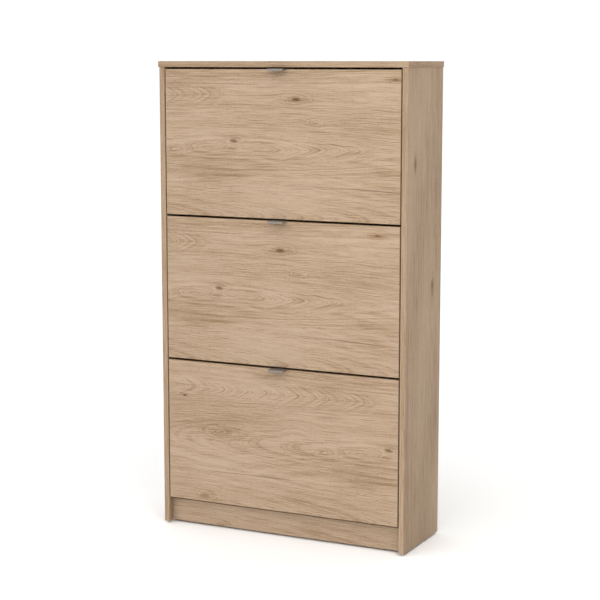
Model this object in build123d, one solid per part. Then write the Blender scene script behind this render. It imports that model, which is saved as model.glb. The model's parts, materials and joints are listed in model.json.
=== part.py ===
from build123d import *
import os
from math import cos, degrees, radians, sin

# Tilt-out shoe cabinet. A tall, shallow carcass of faced chipboard holds three flaps, one above the
# other. Each flap is a front panel that carries a two-row shoe rack and tips forward on two pivot pins.
# Millimetres. X runs to the right, Y to the back and Z up. The origin is the bottom centre of the whole.

# Overall sizes
TOP_WIDTH = 702
HEIGHT = 1235
SIDE_DEPTH = 232

# Boards and their edges
BOARD = 15
TOP_OVERHANG = 2
ARRIS = 1
FIT = 0.05
FASTENER_SIDES = 6
ROUND_SIDES = 8

# Base of the carcass
GLIDE_HEIGHT = 6
GLIDE_RADIUS = 5.5
GLIDE_CHAMFER = 1.2
GLIDE_NAIL_RADIUS = 1
GLIDE_NAIL_LENGTH = 14
FRONT_GLIDE_INSET = 12.5
REAR_GLIDE_INSET = 30
PLINTH_RECESS = 22
FLAP_BASE = 74.5
BASE_CLEARANCE = 8

# Back of the carcass
BACK_SHEET = 3
BACK_INSET = 8
GROOVE_DEPTH = 6
GROOVE_PLAY = 0.2
SHEET_PLAY = 0.5
STRIP_WEB = 2
STRIP_FLANGE = 1
STRIP_HEIGHT = 14
STRIP_PLAY = 0.1
RAIL_HEIGHT = 60
WALL_HOLE_RADIUS = 2.75
WALL_HOLE_SPAN = 400
PIN_HEAD_RADIUS = 2.2
PIN_HEAD = 0.8
PIN_RADIUS = 0.75
PIN_LENGTH = 15
PIN_ROW_MARGIN = 55
PINS_IN_ROW = 3

# Knock-down joints
CAM_RADIUS = 7.5
CAM_FLOOR = 2.5
CAM_SETBACK = 24
BOLT_RADIUS = 2.5
BOLT_HEAD_RADIUS = 3.4
BOLT_HEAD = 3
BOLT_GRIP = 9
BOLT_ROOM = 0.4
DOWEL_RADIUS = 4
DOWEL_GRIP = 10
DOWEL_LENGTH = 30
DOWEL_ROOM = 1
PANEL_JOINT_INSET = 45
JOINT_SPACING = 32
RAIL_JOINT_SPACING = 30

# Flap panels
FLAPS = ("lower", "middle", "upper")
TOP_GAP = 5
FLAP_GAP = 5.5
SIDE_GAP = 3

# Handles
HANDLE_REACH = 26
HANDLE_WIDTH = 44
HANDLE_SHEET = 1.5
HANDLE_LIP = 4
HANDLE_LEG = 22
HANDLE_BEND = 2.2
HANDLE_CORNER = 2
HANDLE_SCREW_SPAN = 28
HANDLE_SCREW_DROP = 13

# Wood screws
SCREW_RADIUS = 1.75
SCREW_GRIP = 10
SCREW_HEAD_RADIUS = 3.6
SCREW_HEAD = 2.2
SCREW_HOLE_PLAY = 0.3

# Pivots and stops
PIVOT_HEIGHT = 80
PIVOT_SETBACK = 7.5
PIVOT_RADIUS = 4
PIVOT_PLAY = 0.06
PIVOT_BOSS_RADIUS = 6.5
PIVOT_BOSS_PLAY = 0.3
BUSH_RADIUS = 6
BUSH_DEPTH = 11
BUSH_FLANGE_RADIUS = 9
BUSH_FLANGE = 1
PIN_END_ROOM = 1
OPEN_ANGLE = 48
STOP_ARM = 90
STOP_ANGLE = 88
STOP_RADIUS = 4
STOP_DEPTH = 10
STOP_PLAY = 0.35
STOP_REACH = 1
SLOT_CORNER = 0.55

# Shoe rack: two rows of shoes stand on their toes, the rear row a step higher
RACK_BOARD = 6
FRONT_POCKET = 94
SWING_ROOM = 9
FRONT_FLOOR_HEIGHT = 18
REAR_FLOOR_HEIGHT = 50
DIVIDER_TOP = 250
REAR_BOARD_TOP = 236
BOARD_PLAY = 0.1
BOARD_END_PLAY = 0.2

# Moulded rack frames
FRAME_WALL = 3
FRAME_RIM = 2
FRAME_RIB_DEPTH = 8
FRAME_CORNER = 5
FRAME_FOOT = 12
FRAME_TOP = 300
FRAME_STEP_RUN = 5
FRAME_HORN = 4
FRAME_SCOOP_RUN = 10
FRONT_SCOOP = 222
REAR_SCOOP = 205
TONGUE_ROOT = 25
TONGUE_TIP = 13
FLANGE_WALL = 3
FLANGE_WIDTH = 26
FLANGE_CORNER = 5
FLANGE_SCREW_INSET = 14
FLANGE_SCREW_HEIGHTS = (40, 284)
WINDOW_MARGIN = 10
WINDOW_CHAMFER = 8
FRONT_WINDOW_START = 42
FRONT_WINDOW_TOP = 118

# Places that follow from the sizes above
FRONT = (HANDLE_REACH - SIDE_DEPTH) / 2
BACK = FRONT + SIDE_DEPTH
OUTER = TOP_WIDTH / 2 - TOP_OVERHANG
INNER = OUTER - BOARD
UNDER_TOP = HEIGHT - BOARD
CAM_DEPTH = BOARD - CAM_FLOOR
BASE_TOP = FLAP_BASE - BASE_CLEARANCE
SHEET_BACK = BACK - BACK_INSET
SHEET_FRONT = SHEET_BACK - BACK_SHEET
RAIL_MIDDLE = SHEET_FRONT - BOARD / 2
PLINTH_FRONT = FRONT + PLINTH_RECESS
PLINTH_BACK = PLINTH_FRONT + BOARD
FLAP_HALF = INNER - SIDE_GAP
FLAP_HEIGHT = (UNDER_TOP - TOP_GAP - FLAP_BASE - FLAP_GAP * (len(FLAPS) - 1)) / len(FLAPS)
FLAP_PITCH = FLAP_HEIGHT + FLAP_GAP
FLAP_BOTTOMS = [FLAP_BASE + FLAP_PITCH * level for level in range(len(FLAPS))]

# Places within a flap: Y from the face of the panel, Z from its bottom edge
PIVOT_Y = BOARD + PIVOT_SETBACK
STOP_Y = PIVOT_Y + STOP_ARM * cos(radians(STOP_ANGLE))
STOP_Z = PIVOT_HEIGHT + STOP_ARM * sin(radians(STOP_ANGLE))
FRAME_FACE = FLAP_HALF - FRAME_WALL
FLANGE_BACK = BOARD + FLANGE_WALL
DIVIDER_FRONT = BOARD + FRONT_POCKET
DIVIDER_BACK = DIVIDER_FRONT + RACK_BOARD
FRAME_REAR = SIDE_DEPTH - BACK_INSET - BACK_SHEET - SWING_ROOM
REAR_BOARD_BACK = FRAME_REAR - FRAME_RIM
REAR_BOARD_FRONT = REAR_BOARD_BACK - RACK_BOARD
RACK_BOARDS = {
    "front_floor": (FLANGE_BACK, DIVIDER_FRONT, FRONT_FLOOR_HEIGHT, FRONT_FLOOR_HEIGHT + RACK_BOARD),
    "rack_divider": (DIVIDER_FRONT, DIVIDER_BACK, FRONT_FLOOR_HEIGHT, DIVIDER_TOP),
    "rear_floor": (DIVIDER_BACK, REAR_BOARD_FRONT, REAR_FLOOR_HEIGHT, REAR_FLOOR_HEIGHT + RACK_BOARD),
    "rear_board": (REAR_BOARD_FRONT, REAR_BOARD_BACK, REAR_FLOOR_HEIGHT, REAR_BOARD_TOP),
}


def block(x_range, y_range, z_range):
    """A square-edged board given by its two faces along each axis."""
    spans = [high - low for low, high in (x_range, y_range, z_range)]
    middle = [(high + low) / 2 for low, high in (x_range, y_range, z_range)]
    return Pos(*middle) * Box(*spans)


def rod(start, direction, radius, length):
    """A round bar that runs from a point along a direction."""
    return Solid.make_cylinder(radius, length, Plane(origin=start, z_dir=direction))


def fastener(start, direction, radius, length, sides=FASTENER_SIDES):
    """A small bar, or the hole for one, kept to few faces."""
    section = Plane(origin=start, z_dir=direction) * RegularPolygon(radius, sides)
    return extrude(section, amount=length)


def slab(section, start, thickness):
    """A section drawn in Y and Z, made solid from one X position along +X."""
    return extrude(Plane.YZ.offset(start) * section, amount=thickness)


def side_rectangle(y_range, z_range, grow=0):
    """A rectangle in the Y and Z plane, grown by the same amount on every side."""
    width = y_range[1] - y_range[0] + 2 * grow
    height = z_range[1] - z_range[0] + 2 * grow
    return Pos(sum(y_range) / 2, sum(z_range) / 2) * Rectangle(width, height)


def cut(board, tools):
    """A board with all of its holes and grooves taken out."""
    return board - tools if tools else board


# Knock-down hardware, and the holes that it needs in each board
cam_locks = []
cam_bolts = []
wooden_dowels = []
drillings = {}


def drill(board, tool):
    """Remember a hole for a named board."""
    drillings.setdefault(board, []).append(tool)


def cam_joint(face_board, end_board, seat, along, mouth):
    """A cam lock in the end board draws in a bolt that is screwed into the face board.

    The seat lies where the two boards meet, at mid thickness. The bolt runs along the end board, and
    the cam opens at its mouth, on the face of the end board."""
    seat = Vector(*seat)
    along = Vector(*along)
    mouth = Vector(*mouth)
    centre = seat + along * CAM_SETBACK
    cam_face = centre + mouth * (BOARD / 2)
    head_end = CAM_SETBACK + BOLT_HEAD / 2
    bolt = fastener(seat - along * BOLT_GRIP, along, BOLT_RADIUS, BOLT_GRIP + head_end)
    bolt += fastener(seat + along * (head_end - BOLT_HEAD), along, BOLT_HEAD_RADIUS, BOLT_HEAD)
    bolt_way = fastener(seat, along, BOLT_HEAD_RADIUS + BOLT_ROOM, head_end + BOLT_ROOM)
    bolt_hole = fastener(seat - along * (BOLT_GRIP + FIT), along, BOLT_RADIUS + FIT, BOLT_GRIP + FIT)
    cam = fastener(cam_face, -mouth, CAM_RADIUS, CAM_DEPTH, ROUND_SIDES) - bolt_way
    cam_hole = fastener(cam_face, -mouth, CAM_RADIUS + FIT, CAM_DEPTH + FIT, ROUND_SIDES)
    cam_locks.append(cam.solid())
    cam_bolts.append(bolt.solid())
    drill(face_board, bolt_hole)
    drill(end_board, bolt_way)
    drill(end_board, cam_hole)


def dowel_joint(face_board, end_board, seat, along):
    """A glued dowel that lines up the end of one board with the face of another."""
    seat = Vector(*seat)
    along = Vector(*along)
    dowel = fastener(seat - along * DOWEL_GRIP, along, DOWEL_RADIUS, DOWEL_LENGTH)
    wooden_dowels.append(dowel.solid())
    start = seat - along * (DOWEL_GRIP + FIT)
    hole = fastener(start, along, DOWEL_RADIUS + FIT, DOWEL_LENGTH + DOWEL_ROOM)
    drill(face_board, hole)
    drill(end_board, hole)


def join_carcass(rail_middles):
    """Place the cam locks and dowels of every joint between the boards of the carcass."""
    base_middle = BASE_TOP - BOARD / 2
    plinth_middle = (GLIDE_HEIGHT + BASE_TOP) / 2
    for side, board in ((-1, "left_side_panel"), (1, "right_side_panel")):
        inward = (-side, 0, 0)
        face = side * INNER
        for end, start in ((1, FRONT), (-1, BACK)):
            inset = start + end * PANEL_JOINT_INSET
            beside = inset + end * JOINT_SPACING
            edge = side * (INNER + BOARD / 2)
            cam_joint("top_panel", board, (edge, inset, UNDER_TOP), (0, 0, -1), inward)
            dowel_joint("top_panel", board, (edge, beside, UNDER_TOP), (0, 0, -1))
        for end, start in ((1, PLINTH_BACK), (-1, SHEET_FRONT)):
            inset = start + end * PANEL_JOINT_INSET
            beside = inset + end * JOINT_SPACING
            cam_joint(board, "base_panel", (face, inset, base_middle), inward, (0, 0, -1))
            dowel_joint(board, "base_panel", (face, beside, base_middle), inward)
        uprights = [("plinth", PLINTH_FRONT + BOARD / 2, plinth_middle)]
        uprights += [(rail, RAIL_MIDDLE, height) for rail, height in rail_middles.items()]
        for rail, y, z in uprights:
            cam_joint(board, rail, (face, y, z + RAIL_JOINT_SPACING / 2), inward, (0, 1, 0))
            dowel_joint(board, rail, (face, y, z - RAIL_JOINT_SPACING / 2), inward)


def wood_screw(seat):
    """A pan-head screw that is driven forward, with its head seated at a point."""
    shank = fastener(seat, (0, -1, 0), SCREW_RADIUS, SCREW_GRIP + FLANGE_WALL)
    head = fastener(seat, (0, 1, 0), SCREW_HEAD_RADIUS, SCREW_HEAD)
    return (shank + head).solid()


def screw_hole(seat, radius):
    """The hole for a screw through whatever lies in front of its head."""
    return fastener(seat, (0, -1, 0), radius, SCREW_GRIP + FLANGE_WALL + FIT)


def handle():
    """A tab pull of bent sheet: a leg behind the panel, a plate over its top edge and a front lip."""
    top = FLAP_HEIGHT + HANDLE_SHEET
    outline = Polyline(
        (BOARD, FLAP_HEIGHT - HANDLE_LEG),
        (BOARD, FLAP_HEIGHT),
        (HANDLE_SHEET - HANDLE_REACH, FLAP_HEIGHT),
        (HANDLE_SHEET - HANDLE_REACH, FLAP_HEIGHT - HANDLE_LIP),
        (-HANDLE_REACH, FLAP_HEIGHT - HANDLE_LIP),
        (-HANDLE_REACH, top),
        (BOARD + HANDLE_SHEET, top),
        (BOARD + HANDLE_SHEET, FLAP_HEIGHT - HANDLE_LEG),
        close=True,
    )
    profile = make_face(outline)
    outer = [corner for corner in profile.vertices() if abs(corner.Y - top) < FIT]
    tab = slab(fillet(outer, HANDLE_BEND), -HANDLE_WIDTH / 2, HANDLE_WIDTH)
    ends = tab.edges().filter_by(Axis.Y)
    tips = [edge for edge in ends if abs(edge.length - HANDLE_SHEET) < FIT]
    tab = chamfer(tips, HANDLE_CORNER)
    holes = [screw_hole(seat, SCREW_RADIUS + SCREW_HOLE_PLAY) for seat in handle_screw_seats()]
    return tab - holes


def handle_screw_seats():
    """Where the heads of the two handle screws sit, on the back of the handle's leg."""
    height = FLAP_HEIGHT - HANDLE_SCREW_DROP
    return [(x, BOARD + HANDLE_SHEET, height) for x in (-HANDLE_SCREW_SPAN / 2, HANDLE_SCREW_SPAN / 2)]


def rack_screw_seats():
    """Where the heads of the frame screws sit, on the back of the two flanges."""
    inset = FRAME_FACE - FLANGE_SCREW_INSET
    return [(x, FLANGE_BACK, height) for x in (-inset, inset) for height in FLANGE_SCREW_HEIGHTS]


def frame_outline():
    """The side view of a rack frame: a stepped foot, two scoops and a tongue up the panel."""
    step = DIVIDER_BACK + FRAME_RIM
    rear_foot = REAR_FLOOR_HEIGHT - FRAME_RIM - FRAME_HORN
    rear_top = REAR_BOARD_TOP + FRAME_HORN
    rear_horn = REAR_BOARD_FRONT - FRAME_RIM
    divider_top = DIVIDER_TOP + FRAME_HORN
    divider_horn = DIVIDER_FRONT - FRAME_RIM
    outline = Polyline(
        (BOARD, FRAME_FOOT),
        (step + FRAME_RIM, FRAME_FOOT),
        (step + FRAME_RIM + FRAME_STEP_RUN, rear_foot),
        (FRAME_REAR, rear_foot),
        (FRAME_REAR, rear_top),
        (rear_horn - FRAME_RIM, rear_top),
        (rear_horn - FRAME_RIM - FRAME_SCOOP_RUN, REAR_SCOOP),
        (step + FRAME_RIM + FRAME_SCOOP_RUN, REAR_SCOOP),
        (step + FRAME_RIM, divider_top),
        (divider_horn - FRAME_RIM, divider_top),
        (divider_horn - FRAME_RIM - FRAME_SCOOP_RUN, FRONT_SCOOP),
        (BOARD + TONGUE_ROOT, FRONT_SCOOP),
        (BOARD + TONGUE_TIP, FRAME_TOP),
        (BOARD, FRAME_TOP),
        close=True,
    )
    face = make_face(outline)
    above_scoops = [corner for corner in face.vertices() if corner.Y > FRONT_SCOOP + FIT]
    tips = [corner for corner in above_scoops if corner.X > BOARD + FIT]
    return chamfer(tips, FRAME_CORNER)


def frame_windows():
    """The two openings that lighten the web of a rack frame."""
    front = ((FRONT_WINDOW_START, DIVIDER_FRONT - FRAME_RIM - WINDOW_MARGIN),
             (FRONT_FLOOR_HEIGHT + RACK_BOARD + FRAME_RIM + WINDOW_MARGIN, FRONT_WINDOW_TOP))
    rear = ((DIVIDER_BACK + FRAME_RIM + WINDOW_MARGIN, REAR_BOARD_FRONT - FRAME_RIM - WINDOW_MARGIN),
            (REAR_FLOOR_HEIGHT + RACK_BOARD + FRAME_RIM + WINDOW_MARGIN, REAR_SCOOP - 2 * WINDOW_MARGIN))
    return [chamfer(side_rectangle(*window).vertices(), WINDOW_CHAMFER) for window in (front, rear)]


def stop_slot(half_width):
    """The arc slot that the fixed stop pin runs along while the flap swings from shut to open."""
    end_room = degrees(half_width / STOP_ARM)
    start = STOP_ANGLE - OPEN_ANGLE - end_room
    sweep = OPEN_ANGLE + 2 * end_room
    pivot = (PIVOT_Y, PIVOT_HEIGHT)
    inner = CenterArc(pivot, STOP_ARM - half_width, start, sweep)
    outer = CenterArc(pivot, STOP_ARM + half_width, start, sweep)
    slot = make_face([inner, outer, Line(inner @ 0, outer @ 0), Line(inner @ 1, outer @ 1)])
    return chamfer(slot.vertices(), half_width * SLOT_CORNER)


def right_rack_frame():
    """A moulded end frame: a ribbed web with board channels, a flange, a stop slot and a pivot pin."""
    outline = frame_outline()
    windows = frame_windows()
    slot = stop_slot(STOP_RADIUS + STOP_PLAY)
    rim = outline - offset(outline, -FRAME_RIM, kind=Kind.INTERSECTION)
    for y0, y1, z0, z1 in RACK_BOARDS.values():
        rim += side_rectangle((y0, y1), (z0, z1), FRAME_RIM) & outline
    sockets = [side_rectangle((y0, y1), (z0, z1), BOARD_PLAY) for y0, y1, z0, z1 in RACK_BOARDS.values()]
    for socket in sockets:
        rim -= socket
    ribs = slab(rim, FRAME_FACE - FRAME_RIB_DEPTH, FRAME_RIB_DEPTH)
    web = slab(outline - windows, FRAME_FACE, FRAME_WALL)
    flange = block((FRAME_FACE - FLANGE_WIDTH, FLAP_HALF), (BOARD, FLANGE_BACK), (FRAME_FOOT, FRAME_TOP))
    flange_corners = flange.edges().filter_by(Axis.Y).sort_by(Axis.X)[:2]
    flange = chamfer(flange_corners, FLANGE_CORNER)
    pivot = (FLAP_HALF, PIVOT_Y, PIVOT_HEIGHT)
    boss_end = INNER - BUSH_FLANGE - PIVOT_BOSS_PLAY
    boss_start = FRAME_FACE - FRAME_RIB_DEPTH
    boss = fastener((boss_start, PIVOT_Y, PIVOT_HEIGHT), (1, 0, 0), PIVOT_BOSS_RADIUS,
                    boss_end - boss_start, ROUND_SIDES)
    pin = rod(pivot, (1, 0, 0), PIVOT_RADIUS, INNER + BUSH_DEPTH - PIN_END_ROOM - FLAP_HALF)
    frame = web + [ribs, flange, boss, pin]
    holes = [screw_hole(seat, SCREW_RADIUS + SCREW_HOLE_PLAY) for seat in rack_screw_seats()]
    return frame - [slab(slot, FRAME_FACE - FRAME_RIB_DEPTH, FRAME_RIB_DEPTH + FRAME_WALL), *holes]


def flap_front():
    """The front panel with softened, banded edges all round and pilot holes in its back."""
    panel = block((-FLAP_HALF, FLAP_HALF), (0, BOARD), (0, FLAP_HEIGHT))
    long_edges = [edge for edge in panel.edges() if edge not in panel.edges().filter_by(Axis.Y)]
    panel = chamfer(long_edges, ARRIS)
    seats = handle_screw_seats() + rack_screw_seats()
    return panel - [screw_hole(seat, SCREW_RADIUS + FIT) for seat in seats]


def flap_pieces():
    """Every piece of one flap, placed from the bottom edge of its panel's face."""
    frame = right_rack_frame()
    board_half = FRAME_FACE - BOARD_END_PLAY
    pieces = {
        "flap_front": flap_front(),
        "handle": handle(),
        "handle_screws": Compound([wood_screw(seat) for seat in handle_screw_seats()]),
        "right_rack_frame": frame,
        "left_rack_frame": mirror(frame, about=Plane.YZ),
        "rack_screws": Compound([wood_screw(seat) for seat in rack_screw_seats()]),
    }
    for name, (y0, y1, z0, z1) in RACK_BOARDS.items():
        pieces[name] = block((-board_half, board_half), (y0, y1), (z0, z1))
    return pieces


def top_panel():
    """The top board, softened along its edges but not at the wall."""
    span = TOP_WIDTH / 2
    board = block((-span, span), (FRONT - TOP_OVERHANG, BACK), (UNDER_TOP, HEIGHT))
    banded = [edge for edge in board.edges() if edge.center().Y < BACK - FIT and edge.length > BOARD]
    return cut(chamfer(banded, ARRIS), drillings["top_panel"])


def side_panel(side, name):
    """A side board with its back groove, its pivot and stop holes and its joint holes."""
    xs = sorted((side * INNER, side * OUTER))
    board = block(xs, (FRONT, BACK), (GLIDE_HEIGHT, UNDER_TOP))
    front_edges = [edge for edge in board.edges().filter_by(Axis.Z) if edge.center().Y < FRONT + FIT]
    board = chamfer(front_edges, ARRIS)
    groove_xs = sorted((side * INNER, side * (INNER + GROOVE_DEPTH)))
    groove_ys = (SHEET_FRONT - GROOVE_PLAY / 2, SHEET_BACK + GROOVE_PLAY / 2)
    groove = block(groove_xs, groove_ys, (GLIDE_HEIGHT, UNDER_TOP))
    holes = [groove]
    for bottom in FLAP_BOTTOMS:
        bush_seat = (side * INNER, FRONT + PIVOT_Y, bottom + PIVOT_HEIGHT)
        stop_seat = (side * INNER, FRONT + STOP_Y, bottom + STOP_Z)
        outward = (side, 0, 0)
        holes.append(fastener(bush_seat, outward, BUSH_RADIUS + FIT, BUSH_DEPTH + FIT, ROUND_SIDES))
        holes.append(fastener(stop_seat, outward, STOP_RADIUS + FIT, STOP_DEPTH + FIT, ROUND_SIDES))
    for x, y in glide_places():
        if x * side > 0:
            nail_seat = (x, y, GLIDE_HEIGHT)
            holes.append(fastener(nail_seat, (0, 0, 1), GLIDE_NAIL_RADIUS + FIT, GLIDE_NAIL_LENGTH))
    return cut(board, holes + drillings[name])


def pivot_bush(side, bottom):
    """A flanged bush in a side board, which carries one pivot pin."""
    seat = Vector(side * INNER, FRONT + PIVOT_Y, bottom + PIVOT_HEIGHT)
    outward = Vector(side, 0, 0)
    flange_seat = seat - outward * BUSH_FLANGE
    collar = fastener(flange_seat, outward, BUSH_FLANGE_RADIUS, BUSH_FLANGE, ROUND_SIDES)
    barrel = fastener(seat, outward, BUSH_RADIUS, BUSH_DEPTH, ROUND_SIDES)
    bore = rod(flange_seat, outward, PIVOT_RADIUS + PIVOT_PLAY, BUSH_FLANGE + BUSH_DEPTH)
    return (collar + barrel - bore).solid()


def stop_pin(side, bottom):
    """A plain pin in a side board that reaches through the slot of a rack frame."""
    inner_end = Vector(side * (FRAME_FACE - STOP_REACH), FRONT + STOP_Y, bottom + STOP_Z)
    length = INNER + STOP_DEPTH - FRAME_FACE + STOP_REACH
    return fastener(inner_end, (side, 0, 0), STOP_RADIUS, length, ROUND_SIDES).solid()


def glide_places():
    """The four places under the side boards where a glide is nailed on."""
    x = INNER + BOARD / 2
    return [(side * x, y) for side in (-1, 1) for y in (FRONT + FRONT_GLIDE_INSET, BACK - REAR_GLIDE_INSET)]


def floor_glide(x, y):
    """A round nail-on glide with a softened foot."""
    foot = fastener((x, y, 0), (0, 0, 1), GLIDE_RADIUS, GLIDE_HEIGHT, ROUND_SIDES)
    foot = chamfer(foot.edges().group_by(Axis.Z)[0], GLIDE_CHAMFER)
    nail = fastener((x, y, GLIDE_HEIGHT), (0, 0, 1), GLIDE_NAIL_RADIUS, GLIDE_NAIL_LENGTH - FIT)
    return (nail + foot).solid()


def rear_rail(name, middle):
    """A stretcher between the sides, against the back sheet."""
    heights = (middle - RAIL_HEIGHT / 2, middle + RAIL_HEIGHT / 2)
    board = block((-INNER, INNER), (SHEET_FRONT - BOARD, SHEET_FRONT), heights)
    return cut(board, drillings[name])


def back_sheet(heights):
    """A hardboard sheet that slides in the grooves of the sides."""
    reach = INNER + GROOVE_DEPTH - SHEET_PLAY
    return cut(block((-reach, reach), (SHEET_FRONT, SHEET_BACK), heights), drillings["back_sheet"])


def back_joint_strip(middle):
    """An H-section strip that takes the edges of both back sheets."""
    reach = INNER - SHEET_PLAY
    slot = BACK_SHEET / 2 + STRIP_PLAY
    section = Rectangle(2 * slot, STRIP_WEB)
    for side in (-1, 1):
        section += Pos(side * (slot + STRIP_FLANGE / 2), 0) * Rectangle(STRIP_FLANGE, STRIP_HEIGHT)
    placed = Pos((SHEET_FRONT + SHEET_BACK) / 2, middle) * section
    return slab(placed, -reach, 2 * reach)


def back_pin(x, z):
    """A flat-headed nail through the back sheet into the board before it."""
    head = fastener((x, SHEET_BACK, z), (0, 1, 0), PIN_HEAD_RADIUS, PIN_HEAD)
    return (head + fastener((x, SHEET_BACK, z), (0, -1, 0), PIN_RADIUS, PIN_LENGTH)).solid()


def carcass_pieces():
    """Every fixed piece, in place."""
    gap_middles = [bottom - FLAP_GAP / 2 for bottom in FLAP_BOTTOMS[1:]]
    rail_middles = {
        "lower_rear_rail": gap_middles[0],
        "upper_rear_rail": gap_middles[1],
        "top_rear_rail": UNDER_TOP - RAIL_HEIGHT / 2,
    }
    join_carcass(rail_middles)

    base_middle = BASE_TOP - BOARD / 2
    pin_reach = INNER - PIN_ROW_MARGIN
    pin_step = 2 * pin_reach / (PINS_IN_ROW - 1)
    pin_rows = {"base_panel": base_middle, **rail_middles}
    back_pins = []
    for board, z in pin_rows.items():
        for place in range(PINS_IN_ROW):
            x = pin_step * place - pin_reach
            back_pins.append(back_pin(x, z))
            hole = fastener((x, SHEET_BACK, z), (0, -1, 0), PIN_RADIUS + FIT, PIN_LENGTH + FIT)
            drill(board, hole)
            drill("back_sheet", hole)
    for x in (-WALL_HOLE_SPAN / 2, WALL_HOLE_SPAN / 2):
        start = (x, SHEET_BACK, rail_middles["top_rear_rail"])
        wall_hole = rod(start, (0, -1, 0), WALL_HOLE_RADIUS, BACK_SHEET + BOARD)
        drill("top_rear_rail", wall_hole)
        drill("back_sheet", wall_hole)

    sheet_foot = BASE_TOP - BOARD
    sheet_middle = (sheet_foot + UNDER_TOP) / 2
    sheet_edge = STRIP_WEB / 2 + STRIP_PLAY
    base = block((-INNER, INNER), (PLINTH_BACK, SHEET_FRONT), (sheet_foot, BASE_TOP))
    plinth = block((-INNER, INNER), (PLINTH_FRONT, PLINTH_BACK), (GLIDE_HEIGHT, BASE_TOP))
    plinth_arris = [edge for edge in plinth.edges().filter_by(Axis.X) if edge.center().Y < PLINTH_FRONT + FIT]
    pieces = {
        "top_panel": top_panel(),
        "left_side_panel": side_panel(-1, "left_side_panel"),
        "right_side_panel": side_panel(1, "right_side_panel"),
        "base_panel": cut(base, drillings["base_panel"]),
        "plinth": cut(chamfer(plinth_arris, ARRIS), drillings["plinth"]),
        "lower_back_sheet": back_sheet((sheet_foot, sheet_middle - sheet_edge)),
        "upper_back_sheet": back_sheet((sheet_middle + sheet_edge, UNDER_TOP - SHEET_PLAY)),
        "back_joint_strip": back_joint_strip(sheet_middle),
        "back_pins": Compound(back_pins),
        "cam_locks": Compound(cam_locks),
        "cam_bolts": Compound(cam_bolts),
        "wooden_dowels": Compound(wooden_dowels),
        "floor_glides": Compound([floor_glide(x, y) for x, y in glide_places()]),
        "pivot_bushes": Compound([pivot_bush(s, bottom) for s in (-1, 1) for bottom in FLAP_BOTTOMS]),
        "stop_pins": Compound([stop_pin(s, bottom) for s in (-1, 1) for bottom in FLAP_BOTTOMS]),
    }
    for name, middle in rail_middles.items():
        pieces[name] = rear_rail(name, middle)
    return pieces


def main():
    """Build every piece and write one STEP file for each."""
    os.makedirs("parts", exist_ok=True)
    pieces = carcass_pieces()
    one_flap = flap_pieces()
    for level, bottom in zip(FLAPS, FLAP_BOTTOMS):
        for name, piece in one_flap.items():
            pieces[f"{level}_{name}"] = Pos(0, FRONT, bottom) * piece
    for name, piece in pieces.items():
        export_step(piece, f"parts/{name}.step")


main()
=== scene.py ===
import json
from collections import namedtuple
from math import atan2, cos, pi, radians, sin, tau

import bmesh
import bpy
from mathutils import Matrix, Vector

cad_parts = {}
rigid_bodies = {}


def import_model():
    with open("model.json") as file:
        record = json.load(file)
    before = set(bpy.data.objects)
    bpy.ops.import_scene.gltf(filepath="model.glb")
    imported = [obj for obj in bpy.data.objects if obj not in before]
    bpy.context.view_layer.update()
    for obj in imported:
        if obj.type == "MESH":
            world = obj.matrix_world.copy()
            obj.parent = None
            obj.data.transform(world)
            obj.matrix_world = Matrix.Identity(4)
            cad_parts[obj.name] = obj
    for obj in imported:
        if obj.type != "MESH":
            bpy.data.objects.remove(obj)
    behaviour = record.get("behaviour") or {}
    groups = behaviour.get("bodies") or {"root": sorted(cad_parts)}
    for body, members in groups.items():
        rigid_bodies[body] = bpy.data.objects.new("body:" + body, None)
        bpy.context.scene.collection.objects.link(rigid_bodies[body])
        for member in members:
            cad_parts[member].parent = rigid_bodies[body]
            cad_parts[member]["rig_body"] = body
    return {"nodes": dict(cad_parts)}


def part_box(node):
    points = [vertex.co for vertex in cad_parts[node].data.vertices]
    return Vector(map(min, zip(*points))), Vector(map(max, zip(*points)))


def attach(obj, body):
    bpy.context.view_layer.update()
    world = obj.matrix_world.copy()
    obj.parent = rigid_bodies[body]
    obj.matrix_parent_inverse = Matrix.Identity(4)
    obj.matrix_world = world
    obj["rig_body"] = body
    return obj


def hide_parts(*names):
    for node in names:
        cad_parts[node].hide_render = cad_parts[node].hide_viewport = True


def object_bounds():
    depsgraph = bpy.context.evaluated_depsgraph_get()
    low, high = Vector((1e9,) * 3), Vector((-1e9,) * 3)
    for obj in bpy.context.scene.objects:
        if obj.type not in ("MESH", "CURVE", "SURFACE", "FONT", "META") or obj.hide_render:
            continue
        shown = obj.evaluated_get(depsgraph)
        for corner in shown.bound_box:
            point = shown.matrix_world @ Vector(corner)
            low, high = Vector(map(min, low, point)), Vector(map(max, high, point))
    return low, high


bl_info = {
    "name": "Tilt-out shoe cabinet",
    "version": (1, 0, 0),
    "blender": (4, 5, 0),
    "location": "View3D > Sidebar > Shoe cabinet",
    "description": "Finishes, small hardware, light and camera for a shoe cabinet with three tilt-out flaps",
    "category": "Object",
}

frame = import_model()
CAD_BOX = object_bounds()

MM = 0.001
LEVELS = ("lower", "middle", "upper")
AXES = ("X", "Y", "Z")
BACKWARD = Vector((0, 1, 0))

# Wood decor: one printed sheet, in millimetres along and across its grain.
# A heart is where the rings of the log come out as long nested arches.
# On each side they close at a slope of their own, to a tip that is pointed at a power of 1 and round at 2.
Heart = namedtuple("Heart", "along across left_slope left_power right_slope right_power")
HEARTS = (
    Heart(-121, 176, 0.11, 2.0, 0.078, 1.45),
    Heart(-700, 5, 0.11, 1.45, 0.11, 1.45),
    Heart(-300, 420, 0.02, 1.45, 0.02, 1.45),
    Heart(0, 790, 0.012, 1.45, 0.012, 1.45),
    Heart(0, 1300, 0.02, 1.45, 0.02, 1.45),
)

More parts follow.
